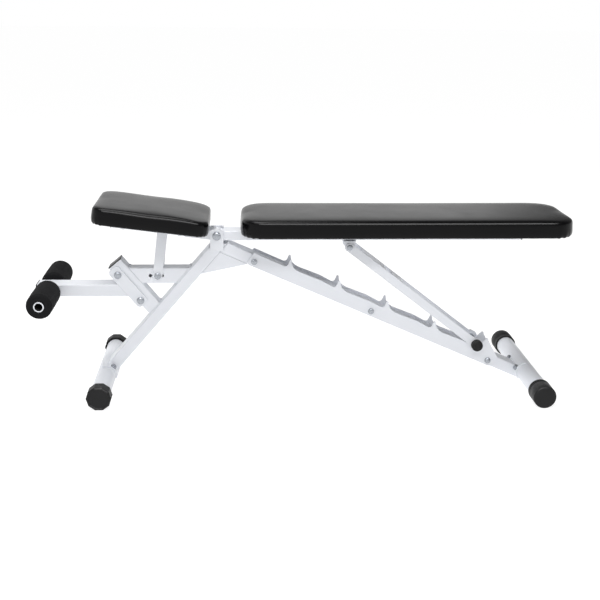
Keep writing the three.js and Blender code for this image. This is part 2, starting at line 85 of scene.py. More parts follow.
def surfaceMaterial(name, look):  # a Principled surface, with two noises that vary its colour and its gloss
    material = bpy.data.materials.new(name)
    material.use_nodes = True
    tree = material.node_tree
    tree.nodes.clear()
    place = put(tree, "ShaderNodeTexCoord").outputs["Object"]
    drift = putNoise(tree, place, look["patch"], 3.0)
    shades = {0: drift.outputs["Fac"], 6: linear(look["colour"]), 7: linear(look["second"])}
    colour = put(tree, "ShaderNodeMix", shades, data_type="RGBA")
    smudge = putNoise(tree, place, look["smudge"], 4.0)
    gloss = put(tree, "ShaderNodeMapRange", {"Value": smudge.outputs["Fac"], "From Min": 0.3, "From Max": 0.7,
                                             "To Min": look["roughness"][0], "To Max": look["roughness"][1]})
    surface = put(tree, "ShaderNodeBsdfPrincipled",
                  {"Base Color": colour.outputs[2], "Roughness": gloss.outputs[0]})
    for socket, value in look.get("constants", {}).items():
        surface.inputs[socket].default_value = value
    put(tree, "ShaderNodeOutputMaterial", {"Surface": surface.outputs[0]})
    return material, tree, place, surface


def addBump(tree, surface, height, depth, strength=1.0, under=None):  # height is 0 to 1, depth in millimetres
    sockets = {"Height": height, "Distance": depth * mm, "Strength": strength}
    if under:
        sockets["Normal"] = under
    bump = put(tree, "ShaderNodeBump", sockets)
    tree.links.new(bump.outputs[0], surface.inputs["Normal"])
    return bump.outputs[0]


# Polyester powder coat on steel, sprayed and oven cured: a clean semi-gloss white with faint orange peel.
powderCoat = {"colour": "#e7e9ee", "second": "#dfe2e8", "patch": 90, "smudge": 25, "roughness": (0.30, 0.42),
              "peel": 2.4, "peelDepth": 0.035, "constants": {"IOR": 1.5}}
paintMat, tree, place, surface = surfaceMaterial("powderCoatedSteel", powderCoat)
peel = putNoise(tree, place, powderCoat["peel"], 1.0)
addBump(tree, surface, peel.outputs["Fac"], powderCoat["peelDepth"], 0.6)

# Steel tube left bare inside, dark from mill scale, and made near black as painted shade so that an open tube end
# reads as a black hole.
boreSteelAndPaintedShade = {"colour": "#1c1b1b", "second": "#2a2624", "patch": 12, "smudge": 6, "roughness": (0.55, 0.75),
             "grain": 0.9, "grainDepth": 0.05, "constants": {"Metallic": 0.35}}
boreSteelAndPaintedShadeMat, tree, place, surface = surfaceMaterial("millScaleSteelAndPaintedShade", boreSteelAndPaintedShade)
scale = putNoise(tree, place, boreSteelAndPaintedShade["grain"], 5.0)
addBump(tree, surface, scale.outputs["Fac"], boreSteelAndPaintedShade["grainDepth"])

# Bright zinc plate on turned and forged steel: a cool silver with cloudy gloss and fine turning marks.
zincPlate = {"colour": "#b4b7bc", "second": "#8f949b", "patch": 4, "smudge": 2.2, "roughness": (0.18, 0.36),
             "marks": 0.35, "marksDepth": 0.015, "constants": {"Metallic": 1.0}}
zincMat, tree, place, surface = surfaceMaterial("zincPlatedSteel", zincPlate)
marks = putNoise(tree, place, zincPlate["marks"], 3.0)
addBump(tree, surface, marks.outputs["Fac"], zincPlate["marksDepth"])

# Moulded PVC rubber, straight from the tool: deep black with a satin skin and a fine spark-eroded grain.
rubberLook = {"colour": "#0b0b0c", "second": "#111113", "patch": 14, "smudge": 5, "roughness": (0.42, 0.58),
              "grain": 0.7, "grainDepth": 0.06, "constants": {"IOR": 1.35}}
rubberMat, tree, place, surface = surfaceMaterial("mouldedRubber", rubberLook)
grain = putNoise(tree, place, rubberLook["grain"], 2.0)
addBump(tree, surface, grain.outputs["Fac"], rubberLook["grainDepth"])

# Injection-moulded polyethylene plugs: black, a little waxier and smoother than the rubber.
plugLook = {"colour": "#18181a", "second": "#222225", "patch": 10, "smudge": 6, "roughness": (0.34, 0.48),
            "flow": 6, "flowDepth": 0.05, "constants": {"IOR": 1.51}}
plugMat, tree, place, surface = surfaceMaterial("mouldedPolyethylene", plugLook)
flow = putNoise(tree, place, plugLook["flow"], 2.0)
addBump(tree, surface, flow.outputs["Fac"], plugLook["flowDepth"])

# PVC-coated upholstery vinyl, calendered and lightly embossed: black, glossy, with a pebble of about 1.5 mm
# and long soft ripples where it is pulled tight over the foam.
vinylLook = {"colour": "#040405", "second": "#080809", "patch": 60, "smudge": 70, "roughness": (0.20, 0.26),
             "pebble": 1.5, "pebbleDepth": 0.02, "ripple": 90, "rippleDepth": 0.5,
             "constants": {"IOR": 1.24}}
vinylMat, tree, place, surface = surfaceMaterial("upholsteryVinyl", vinylLook)
pebble = put(tree, "ShaderNodeTexVoronoi", {"Vector": place, "Scale": perMetre(vinylLook["pebble"])},
             feature="SMOOTH_F1")
stretched = put(tree, "ShaderNodeMapping", {"Vector": place, "Scale": (0.4, 1.0, 1.0)})
ripple = putNoise(tree, stretched.outputs[0], vinylLook["ripple"], 1.0)
tension = addBump(tree, surface, ripple.outputs["Fac"], vinylLook["rippleDepth"], 0.5)
addBump(tree, surface, pebble.outputs["Distance"], vinylLook["pebbleDepth"], 0.5, tension)

# Closed-cell rubber foam with its skin ground off: dull black, with open cells of about 1 mm, drawn at 1.6 mm
# so that they show.
foamLook = {"colour": "#111112", "second": "#1b1b1d", "patch": 9, "smudge": 4, "roughness": (0.86, 0.98),
            "cell": 1.6, "cellDepth": 0.3, "crumb": 5, "crumbDepth": 0.5, "constants": {"IOR": 1.22}}
foamMat, tree, place, surface = surfaceMaterial("closedCellFoam", foamLook)
cells = put(tree, "ShaderNodeTexVoronoi",
            {"Vector": place, "Scale": perMetre(foamLook["cell"]), "Randomness": 1.0})
crumb = putNoise(tree, place, foamLook["crumb"], 4.0)
lumps = addBump(tree, surface, crumb.outputs["Fac"], foamLook["crumbDepth"], 0.6)
addBump(tree, surface, cells.outputs["Distance"], foamLook["cellDepth"], 0.7, lumps)

# Spunbond polypropylene dust cloth: matt charcoal, embossed with a diamond of points 2.5 mm apart.
clothLook = {"colour": "#131314", "second": "#1c1c1e", "patch": 7, "smudge": 3, "roughness": (0.88, 0.97),
             "emboss": 2.5, "embossDepth": 0.12, "constants": {"IOR": 1.45}}
clothMat, tree, place, surface = surfaceMaterial("spunbondCloth", clothLook)
turnedPlace = put(tree, "ShaderNodeMapping", {"Vector": place, "Rotation": (0, 0, math.radians(45))})
points = put(tree, "ShaderNodeTexVoronoi", {"Vector": turnedPlace.outputs[0], "Randomness": 0.0,
                                            "Scale": perMetre(clothLook["emboss"])})
addBump(tree, surface, points.outputs["Distance"], clothLook["embossDepth"])
print("materials ready")


# mesh helpers
def soften(points, radius, steps=3):  # rounds each corner of a closed outline
    out = []
    for i, point in enumerate(points):
        corner, before, after = Vector(point), Vector(points[i - 1]), Vector(points[(i + 1) % len(points)])
        a, b = before - corner, after - corner
        reach = min(radius, a.length / 2.05, b.length / 2.05)
        if reach < 1e-7:
            out.append(tuple(corner))
            continue
        start, end = corner + a.normalized() * reach, corner + b.normalized() * reach
        for k in range(steps + 1):
            t = k / steps
            out.append(tuple(start * (1 - t) ** 2 + corner * 2 * t * (1 - t) + end * t * t))
    return out


def aimed(origin, direction):  # matrix that puts local Z along direction
    return Matrix.Translation(origin) @ Vector(direction).to_track_quat("Z", "Y").to_matrix().to_4x4()


def addRings(shape, rings, matrix, closed=False):  # joins equal rings; a ring of one point closes an end
    verts, faces = shape
    starts = []
    for ring in rings:
        starts.append((len(verts), len(ring)))
        verts.extend(matrix @ Vector(p) for p in ring)
    pairs = list(zip(starts, starts[1:])) + ([(starts[-1], starts[0])] if closed else [])
    for (a, na), (b, nb) in pairs:
        n = max(na, nb)
        for i in range(n):
            j = (i + 1) % n
            if na == 1:
                faces.append((a, b + j, b + i))
            elif nb == 1:
                faces.append((a + i, a + j, b))
            else:
                faces.append((a + i, a + j, b + j, b + i))
    return shape


def circle(radius, along, sides, offset=0.0):
    if radius <= 1e-7:
        return [(0, 0, along)]
    steps = [2 * math.pi * (k + offset) / sides for k in range(sides)]
    return [(radius * math.cos(t), radius * math.sin(t), along) for t in steps]


def turned(shape, profile, matrix, sides=48, closed=True):  # profile is a list of (radius, along)
    return addRings(shape, [circle(r, z, sides) for r, z in profile], matrix, closed)


def quarter(steps):  # sine and 1 - cosine along a quarter turn
    return [(math.sin(t), 1 - math.cos(t)) for t in (math.pi / 2 * k / steps for k in range(1, steps + 1))]


def piece(name, shape, material, body, stands=(), sharp=32):
    verts, faces = shape
    mesh = bpy.data.meshes.new(name)
    mesh.from_pydata(verts, [], faces)
    bm = bmesh.new()
    bm.from_mesh(mesh)
    bmesh.ops.recalc_face_normals(bm, faces=bm.faces)
    bm.to_mesh(mesh)
    bm.free()
    mesh.polygons.foreach_set("use_smooth", [True] * len(mesh.polygons))
    mesh.set_sharp_from_angle(angle=math.radians(sharp))
    mesh.materials.append(material)
    made = bpy.data.objects.new(name, mesh)
    scene.collection.objects.link(made)
    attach(made, body)
    if stands:
        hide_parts(*stands)
    return made


def merged(name):  # a CAD node's mesh as a bmesh with its seams joined
    bm = bmesh.new()
    bm.from_mesh(nodes[name].data)
    bmesh.ops.remove_doubles(bm, verts=bm.verts, dist=0.002 * mm)
    return bm


def middleOf(name):
    low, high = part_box(name)
    return (low + high) / 2


def inwards(name, side, centre):  # matrix whose Z runs in from the outer face of a piece on this side
    low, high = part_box(name)
    return aimed((centre.x, low.y if side < 0 else high.y, centre.z), (0, -side, 0))


def bodyOf(name):
    return next(b for b, members in frame["record"]["behaviour"]["bodies"].items() if name in members)


# painted steel: the CAD solids, with rolled edges
steelEdge = {"join": 0.004, "flat": 1.0, "width": 0.7, "plug": 0.8, "segments": 2, "sharp": 38}
steelNodes = [
    "front_leg", "rail_tube", "gusset_near", "gusset_far", "hinge_ear_near", "hinge_ear_far",
    "seat_support_tube", "brace_tube", "notch_plate_near", "notch_plate_far", "front_saddle", "rear_saddle",
    "roller_arm", "arm_ear_near", "arm_ear_far", "backrest_tube", "strut_bracket", "strut",
    "seat_tube", "seat_plate_near", "seat_plate_far", "seat_post",
]
shading = bpy.data.node_groups.new("smoothRolledEdges", "GeometryNodeTree")
shading.interface.new_socket("Mesh", in_out="INPUT", socket_type="NodeSocketGeometry")
shading.interface.new_socket("Mesh", in_out="OUTPUT", socket_type="NodeSocketGeometry")
source = put(shading, "NodeGroupInput").outputs[0]
smooth = put(shading, "GeometryNodeSetShadeSmooth", {"Geometry": source, "Shade Smooth": True}, domain="FACE")
put(shading, "NodeGroupOutput", {0: smooth.outputs[0]})


def finishEdges(name, material, width=steelEdge["width"]):
    part = nodes[name]
    part.material_slots[0].material = material
    part.modifiers.new("join", "WELD").merge_threshold = steelEdge["join"] * mm
    flat = part.modifiers.new("flat", "DECIMATE")
    flat.decimate_type = "DISSOLVE"
    flat.angle_limit = math.radians(steelEdge["flat"])
    bevel = part.modifiers.new("rolled", "BEVEL")
    bevel.width = width * mm
    bevel.segments = steelEdge["segments"]
    bevel.limit_method = "ANGLE"
    bevel.angle_limit = math.radians(steelEdge["sharp"])
    bevel.miter_outer = "MITER_ARC"
    part.modifiers.new("smooth", "NODES").node_group = shading
    part.modifiers.new("weighted", "WEIGHTED_NORMAL").keep_sharp = True


for name in steelNodes:
    finishEdges(name, paintMat)
for name in ("brace_end_plug", "backrest_tube_plug", "seat_tube_plug", "arm_end_plug"):
    finishEdges(name, plugMat, steelEdge["plug"])
print("steel edges rolled")

# round foot tubes and the axle tube
tubeLook = {"wall": 1.8, "axleWall": 3.0, "lip": 0.5, "sides": 72}
for name in ("front_foot_tube", "rear_foot_tube", "axle_tube"):
    low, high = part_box(name)
    outer, half, centre = (high.z - low.z) / 2, (high.y - low.y) / 2, middleOf(name)
    inner = outer - tubeLook["axleWall" if name == "axle_tube" else "wall"] * mm
    wall = soften([(inner, -half), (outer, -half), (outer, half), (inner, half)], tubeLook["lip"] * mm)
    shape = turned(([], []), wall, aimed(centre, (0, 1, 0)), tubeLook["sides"])
    tube = piece(name.replace("_", "") + "Drawn", shape, paintMat, "frame", [name])
    # the bore's bare steel is near black: partly mill scale, partly painted shade inside the hollow
    tube.data.materials.append(boreSteelAndPaintedShadeMat)
    for face in tube.data.polygons:  # the bore is bare steel
        away = Vector((face.center.x - centre.x, 0, face.center.z - centre.z))
        if away.length < inner + 0.2 * mm and away.dot(face.normal) < -0.7 * away.length:
            face.material_index = 1

# cross rod of the strut
rodLook = {"chamfer": 1.2, "short": 2.5, "sides": 40}
low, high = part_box("cross_rod")
radius, half = (high.z - low.z) / 2, (high.y - low.y) / 2 - rodLook["short"] * mm  # the grips hide its ends
profile = soften([(0, -half), (radius, -half), (radius, half), (0, half)], rodLook["chamfer"] * mm)
profile = [p for p in profile if p[0] > 1e-6]
rodShape = turned(([], []), [(0, -half), *profile, (0, half)], aimed(middleOf("cross_rod"), (0, 1, 0)),
                  rodLook["sides"], closed=False)
piece("crossRod", rodShape, zincMat, "strut", ["cross_rod"])


# rubber caps, sleeves and grips
capLook = {"sides": 10, "turn": 0.5, "chamfer": 4.0, "rim": 2.6, "dish": 1.3, "socket": 24.3, "floor": 3.5,
           "mouth": 1.2, "wall": 0.8, "round": 0.9, "crease": 12}
for place, side in sideOf.items():
    name = f"front_cap_{place}"
    low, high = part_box(name)
    matrix = inwards(name, side, middleOf("front_foot_tube"))
    length, radius = high.y - low.y, (high.z - low.z) / 2 / math.cos(math.pi / capLook["sides"])
    chamfer, rim, dish = capLook["chamfer"] * mm, capLook["rim"] * mm, capLook["dish"] * mm
    mouth, wall = capLook["mouth"] * mm, capLook["wall"] * mm
    sides, turn = capLook["sides"], capLook["turn"]
    corners = [math.pi / 2 + 2 * math.pi * (k + turn) / sides for k in range(sides)]
    outline = [(radius, chamfer * 0.8), (radius, length - mouth), (radius - mouth, length)]
    face = [(radius - chamfer - rim, dish), (radius - chamfer - rim + wall, 0), (radius - chamfer, 0)]
    socket, floor = capLook["socket"] * mm, capLook["floor"] * mm
    rings = [[(0, 0, dish)]]
    for r, along in (*face, *outline, (socket, length), (socket, floor)):
        rings.append([(r * math.cos(t), r * math.sin(t), along) for t in corners])
    rings.append([(0, 0, floor)])
    shape = addRings(([], []), rings, matrix)
    cap = piece(f"frontCap{place.title()}", shape, rubberMat, "frame", [name])
    bevel = cap.modifiers.new("moulded", "BEVEL")
    bevel.width, bevel.segments, bevel.limit_method = capLook["round"] * mm, 3, "ANGLE"
    bevel.angle_limit = math.radians(capLook["crease"])
    cap.modifiers.new("weighted", "WEIGHTED_NORMAL")

sleeveLook = {"round": 4.5, "dome": 1.6, "lip": 1.4, "socket": 24.3, "floor": 3.5, "rib": 0.5,
              "ribs": (16, 10), "sides": 72}
for place, side in sideOf.items():
    name = f"rear_sleeve_{place}"
    low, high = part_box(name)
    matrix = inwards(name, side, middleOf("rear_foot_tube"))
    length, radius = high.y - low.y, (high.x - low.x) / 2
    rounding, socket, rib = sleeveLook["round"] * mm, sleeveLook["socket"] * mm, sleeveLook["rib"] * mm
    dome, floor = sleeveLook["dome"] * mm, sleeveLook["floor"] * mm
    profile = [(0, 0), (radius * 0.55, 0.35 * mm), (radius - rounding, dome)]
    profile += [(radius - rounding + rounding * out, dome + rounding * down) for out, down in quarter(6)]
    for start in (length - rise * mm for rise in sleeveLook["ribs"]):  # moulded grip rings near the open end
        profile += [(radius, start), (radius - rib, start + 0.8 * mm), (radius - rib, start + 2.4 * mm),
                    (radius, start + 3.2 * mm)]
    profile += [(radius, length - 1.5 * mm), (radius - 0.5 * mm, length - 0.4 * mm),
                (radius - sleeveLook["lip"] * mm, length), (socket, length), (socket, floor), (0, floor)]
    shape = turned(([], []), profile, matrix, sleeveLook["sides"], closed=False)
    for point in shape[0]:
        point.z = max(point.z, low.z)  # the sleeve stands on a narrow flat
    piece(f"rearSleeve{place.title()}", shape, rubberMat, "frame", [name])

gripLook = {"round": 3.0, "groove": 0.7, "bore": 8.3, "floor": 2.4, "sides": 56}
for place, side in sideOf.items():
    name = f"grip_{place}"
    low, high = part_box(name)
    matrix = inwards(name, side, middleOf(name))
    length, radius = high.y - low.y, (high.z - low.z) / 2
    groove, rounding = gripLook["groove"] * mm, gripLook["round"] * mm
    profile = [(0, 0.7 * mm), (radius * 0.22, 0.6 * mm), (radius * 0.3, 0.1 * mm), (radius * 0.52, 0),
               (radius * 0.56, groove), (radius * 0.62, groove), (radius * 0.66, 0.05 * mm),
               (radius - rounding, 0.3 * mm)]
    profile += [(radius - rounding * (1 - out), 0.3 * mm + rounding * down) for out, down in quarter(5)]
    bore, floor = gripLook["bore"] * mm, gripLook["floor"] * mm
    profile += [(radius, length - 0.8 * mm), (radius - 0.8 * mm, length), (bore, length), (bore, floor),
                (0, floor)]
    shape = turned(([], []), profile, matrix, gripLook["sides"], closed=False)
    piece(f"grip{place.title()}", shape, rubberMat, "strut", [name])
print("caps, sleeves and grips moulded")


# bolts, washers and nuts
boltLook = {"sides": 48, "pitch": 1.25, "depth": 0.65, "washer": 1.4, "gap": 0.3, "levels": 7}


def hexRings(flats, start, height, capped, bore=0.0):  # a hexagon with the chamfer of a forged head or nut
    half, rings, sides = flats / 2, [], boltLook["sides"]
    flatCircle = half * 0.95
    steps = [2 * math.pi * k / sides for k in range(sides)]
    drop = (half / math.cos(math.pi / 6) - flatCircle) * math.tan(math.radians(30))
    for level in range(boltLook["levels"]):
        below = drop * (1 - level / (boltLook["levels"] - 1)) if level else height
        limit = flatCircle + max(0.0, below / math.tan(math.radians(30))) if level else 1.0
        ring = []
        for t in steps:
            corner = half / math.cos((t + math.pi / 6) % (math.pi / 3) - math.pi / 6)
            r = min(corner, limit)
            ring.append((r * math.cos(t), r * math.sin(t), start + height - below))
        rings.append(ring)
    top = [circle(bore, start + height, sides)] if bore else [circle(0, start + height, sides)]
    base = [circle(bore, start, sides)] if bore else []
    return base + rings + (top if capped else [])


def addWasher(shape, matrix, inner, outer, start, thickness):
    end = start + thickness
    outline = soften([(inner, start), (outer, start), (outer, end), (inner, end)], 0.3 * mm, 2)
    turned(shape, outline, matrix, boltLook["sides"])


def addShank(shape, matrix, radius, start, end, threadFrom):  # a helical thread from threadFrom to the tip
    sides, pitch = boltLook["sides"], boltLook["pitch"] * mm
    rings = [circle(0, start, sides), circle(radius, start, sides), circle(radius, threadFrom, sides)]
    rows = max(8, int((end - threadFrom) / pitch * 6))
    for k in range(1, rows + 1):
        along = threadFrom + (end - threadFrom) * k / rows
        ring = []
        for i in range(sides):
            t = 2 * math.pi * i / sides
            phase = (along / pitch - i / sides) % 1
            r = radius - boltLook["depth"] * mm * (1 - abs(2 * phase - 1)) * min(1, 0.3 + k / 6)
            r = min(r, radius - max(0.0, 1.0 * mm - (end - along)))
            ring.append((r * math.cos(t), r * math.sin(t), along))
        rings.append(ring)
    rings.append(circle(0, end, sides))
    addRings(shape, rings, matrix)


def addNut(shape, matrix, flats, bore, start, height):  # a lock nut: hexagon below, round collar above
    hexagon = hexRings(flats, start, height * 0.72, False, bore)
    outline = ((flats * 0.44, 0.72), (flats * 0.42, 0.93), (flats * 0.38, 1), (bore * 1.12, 1),
               (bore * 1.12, 0.9), (bore, 0.9))
    collar = [circle(r, start + height * share, boltLook["sides"]) for r, share in outline]
    addRings(shape, hexagon + collar, matrix, closed=True)


crossBolts = {  # node: across flats, head height, radius, tail beyond the clamped plates, washer radius
    "plate_bolt_front": (13, 5.5, 4, 9, 8), "plate_bolt_middle": (13, 5.5, 4, 9, 8),
    "plate_bolt_rear": (13, 5.5, 4, 9, 8), "arm_bolt_upper": (15, 6, 4, 10, 9.5),
    "arm_bolt_lower": (15, 6, 4, 10, 9.5), "strut_pin": (13, 5, 4, 8, 7.5),
    "post_top_pin": (13, 5, 4, 8, 7.5),
}
for name, (flats, head, radius, tail, disc) in crossBolts.items():
    low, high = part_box(name)
    centre = middleOf(name)
    washer = boltLook["washer"]
    near = low.y + (head + boltLook["gap"]) * mm
    reach = (high.y - tail * mm) - near  # near face to far face
    matrix = aimed((centre.x, near, centre.z), (0, -1, 0))  # out of the near face
    shape = ([], [])
    addWasher(shape, matrix, (radius + 0.4) * mm, disc * mm, 0.02 * mm, washer * mm)
    addRings(shape, hexRings(flats * mm, (washer + 0.05) * mm, (head - 1.0) * mm, True), matrix)
    matrix = aimed((centre.x, high.y - tail * mm, centre.z), (0, 1, 0))  # out of the far face
    addWasher(shape, matrix, (radius + 0.4) * mm, disc * mm, 0.02 * mm, washer * mm)
    addNut(shape, matrix, flats * mm, (radius + 0.02) * mm, (washer + 0.05) * mm, 6.2 * mm)
    addShank(shape, matrix, radius * mm, -reach - 0.5 * mm, (tail - 0.2) * mm, -1.0 * mm)
    piece("hex" + name.title().replace("_", ""), shape, zincMat, bodyOf(name), [name])

pivotLook = {"flats": 17, "head": 6.5, "radius": 5, "hole": 5.4, "disc": 11, "washer": 1.6, "nut": 7.4}
low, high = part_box("pivot_bolt")
centre = middleOf("pivot_bolt")
near = low.y + (pivotLook["head"] + boltLook["gap"]) * mm
matrix = aimed((centre.x, near, centre.z), (0, -1, 0))
shape = ([], [])
washer = (pivotLook["hole"] * mm, pivotLook["disc"] * mm, 0.02 * mm, pivotLook["washer"] * mm)
addWasher(shape, matrix, *washer)
addRings(shape, hexRings(pivotLook["flats"] * mm, (pivotLook["washer"] + 0.05) * mm,
                         (pivotLook["head"] - 1.2) * mm, True), matrix)
farMatrix = aimed((centre.x, -near, centre.z), (0, 1, 0))
addShank(shape, farMatrix, pivotLook["radius"] * mm, 2 * near - 0.5 * mm, high.y + near, -1.0 * mm)
piece("hexPivotBolt", shape, zincMat, "frame", ["pivot_bolt"])
shape = ([], [])
addWasher(shape, farMatrix, *washer)
addNut(shape, farMatrix, pivotLook["flats"] * mm, (pivotLook["radius"] + 0.02) * mm,
       (pivotLook["washer"] + 0.05) * mm, pivotLook["nut"] * mm)
piece("lockNutPivot", shape, zincMat, "frame", ["pivot_nut"])


def addShortBolt(shape, matrix, look):  # washer, hexagon head and a plain shank
    radius, tip = look["radius"] * mm, -look["shank"] * mm
    addWasher(shape, matrix, look["hole"] * mm, look["disc"] * mm, look["lift"] * mm, look["washer"] * mm)
    addRings(shape, hexRings(look["flats"] * mm, look["under"] * mm, look["height"] * mm, True), matrix)
    turned(shape, [(0, tip), (radius, tip), (radius, 1.5 * mm), (0, 1.5 * mm)], matrix, boltLook["sides"],
           closed=False)


postLook = {"head": 5.8, "hole": 4.4, "disc": 8.6, "lift": 0.02, "washer": 1.3, "under": 1.35, "flats": 15,
            "height": 4.6, "radius": 4, "shank": 3.2}
for place, side in sideOf.items():  # the seat post's lower bolt shows as a head on each side
    name = f"post_bolt_{place}"
    low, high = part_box(name)
    face = (low.y + postLook["head"] * mm) if side < 0 else (high.y - postLook["head"] * mm)
    matrix = aimed((middleOf(name).x, face, middleOf(name).z), (0, side, 0))
    shape = ([], [])
    addShortBolt(shape, matrix, postLook)
    piece(f"hexPostBolt{place.title()}", shape, zincMat, "seat_post", [name])

saddleLook = {**postLook, "seat": 26.6, "disc": 7.8, "lift": 0.0, "flats": 13, "height": 4.8, "shank": 8}
for end in ("front", "rear"):  # saddle bolts point away from the round foot tube
    foot = middleOf(f"{end}_foot_tube")
    for place in sideOf:
        name = f"{end}_saddle_bolt_{place}"
        bm = merged(name)
        mean = sum((v.co for v in bm.verts), Vector()) / len(bm.verts)
        bm.free()
        out = Vector((mean.x - foot.x, 0, mean.z - foot.z)).normalized()
        matrix = aimed(Vector((foot.x, mean.y, foot.z)) + out * saddleLook["seat"] * mm, out)
        shape = ([], [])
        addShortBolt(shape, matrix, saddleLook)
        piece(f"hex{end.title()}SaddleBolt{place.title()}", shape, zincMat, "frame", [name])

seatTurn = math.radians(7.1)  # the seat's slope at rest
pivot = Vector(next(j["pos_m"] for j in frame["joints"] if j["name"] == "seat_hinge"))
seatAxes = Matrix.Translation(pivot) @ Matrix.Rotation(seatTurn, 4, "Y")
backAxes = Matrix.Translation(pivot)


def boxIn(name, axes):  # lowest and highest corner of a node in tilted axes
    back = axes.inverted()
    points = [back @ v.co for v in nodes[name].data.vertices]
    return (Vector([min(p[i] for p in points) for i in range(3)]),
            Vector([max(p[i] for p in points) for i in range(3)]))


domeLook = {"height": 4.6, "shank": 3, "short": 5}
dome = [(0, 4.6), (2.2, 4.5), (4.4, 4.0), (6.2, 3.0), (7.4, 1.7), (8.0, 0.5), (7.9, 0.0), (3, 0.0)]
for end in ("front", "rear"):  # domed square-neck bolts under the seat tube
    low, high = boxIn(f"seat_bolt_{end}", seatAxes)
    matrix = seatAxes @ aimed(((low.x + high.x) / 2, 0, low.z + domeLook["height"] * mm), (0, 0, -1))
    tip = -(high.z - low.z) + domeLook["short"] * mm
    profile = [(r * mm, z * mm) for r, z in dome] + [(domeLook["shank"] * mm, tip), (0, tip)]
    shape = turned(([], []), profile, matrix, boltLook["sides"], closed=False)
    piece(f"domeBolt{end.title()}", shape, zincMat, "seat", [f"seat_bolt_{end}"])
print("hardware made")


# weld beads: they follow the edges where one steel part stands against another
beadLook = {"reach": 0.55, "spacing": 0.9, "radius": 1.9, "ripple": 2.6, "swell": 0.16, "sides": 8,
            "shortest": 6, "crease": 25, "clear": 60, "joinGap": 1.2, "joinTurn": 40, "taper": 3,
            "wander": 0.12, "tip": 0.6}
weldPairs = [
    ("rail_tube", "front_leg"), ("gusset_near", "front_leg"), ("gusset_far", "front_leg"),
    ("gusset_near", "rail_tube"), ("gusset_far", "rail_tube"), ("hinge_ear_near", "front_leg"),
    ("hinge_ear_far", "front_leg"), ("hinge_ear_near", "rail_tube"), ("hinge_ear_far", "rail_tube"),
    ("seat_support_tube", "front_leg"), ("seat_support_tube", "brace_tube"), ("brace_tube", "front_leg"),
    ("roller_arm", "arm_ear_near"), ("roller_arm", "arm_ear_far"), ("front_leg", "front_saddle"),
    ("rail_tube", "rear_saddle"), ("strut_bracket", "backrest_tube"), ("seat_plate_near", "seat_tube"),
    ("seat_plate_far", "seat_tube"),
]


def edgeRuns(first, second):  # stretches of the first part's outer edges that lie against the second
    bm = merged(first)
    bmesh.ops.dissolve_limit(bm, angle_limit=math.radians(1), verts=bm.verts, edges=bm.edges)
    own, other = BVHTree.FromBMesh(bm), merged(second)
    tree = BVHTree.FromBMesh(other)
    reach, runs = beadLook["reach"] * mm, []
    for edge in bm.edges:
        if len(edge.link_faces) != 2 or edge.calc_face_angle(0) < math.radians(beadLook["crease"]):
            continue
        a, b = (v.co.copy() for v in edge.verts)
        count = max(2, int((b - a).length / (beadLook["spacing"] * mm)) + 1)
        run = []
        for k in range(count + 1):
            point = a.lerp(b, k / count)
            place, normal, _, gap = tree.find_nearest(point, reach)
            side = None
            if place is not None:
                side = min(edge.link_faces, key=lambda f: abs(f.normal.dot(normal)))
                hidden = own.ray_cast(point + side.normal * 0.3 * mm, side.normal, beadLook["clear"] * mm)[0]
                if hidden is not None:
                    side = None
            if side is None:
                if len(run) > 1:
                    runs.append(run)
                run = []
            else:
                run.append(point + side.normal * 0.5 * mm + normal * 0.2 * mm)
        if len(run) > 1:
            runs.append(run)
    bm.free()
    other.free()
    joined = True
    while joined:  # end-to-end stretches that carry on round a curve become one bead
        joined = False
        for i, run in enumerate(runs):
            for j, other in enumerate(runs):
                if i == j or joined:
                    continue
                for flip in (other, other[::-1]):
                    turn = (run[-1] - run[-2]).angle(flip[1] - flip[0], math.pi)
                    gap = (run[-1] - flip[0]).length
                    if gap < beadLook["joinGap"] * mm and turn < math.radians(beadLook["joinTurn"]):
                        runs[i] = run + flip[1:]
                        runs.pop(j)
                        joined = True
                        break
            if joined:
                break
    return [r for r in runs if sum((q - p).length for p, q in zip(r, r[1:])) > beadLook["shortest"] * mm]


def addBead(shape, run):
    rings, along, total = [], 0.0, sum((q - p).length for p, q in zip(run, run[1:]))
    for k, point in enumerate(run):
        if k:
            along += (point - run[k - 1]).length
        ahead = (run[min(k + 1, len(run) - 1)] - run[max(k - 1, 0)]).normalized()
        taper = min(1, *(0.45 + left / (beadLook["taper"] * mm) for left in (along, total - along)))
        wave = 1 + beadLook["swell"] * abs(math.sin(math.pi * along / (beadLook["ripple"] * mm)))
        wander = 1 + beadLook["wander"] * noise.noise(point * 160)
        rings.append((point, ahead, beadLook["radius"] * mm * taper * wave * wander))
    side = rings[0][1].orthogonal().normalized()
    loops = [[rings[0][0] - rings[0][1] * beadLook["tip"] * mm]]
    for point, ahead, radius in rings:
        side = (side - ahead * side.dot(ahead)).normalized()
        up = ahead.cross(side)
        loops.append([point + (side * math.cos(t) + up * math.sin(t)) * radius
                      for t in (2 * math.pi * i / beadLook["sides"] for i in range(beadLook["sides"]))])
    loops.append([rings[-1][0] + rings[-1][1] * beadLook["tip"] * mm])
    addRings(shape, loops, Matrix.Identity(4))


for first, second in weldPairs:
    shape = ([], [])
    for run in edgeRuns(first, second):
        addBead(shape, run)
    if shape[1]:
        words = first.title().replace("_", "") + "To" + second.title().replace("_", "")
        piece("weld" + words, shape, paintMat, bodyOf(first), sharp=60)
print("weld beads laid")


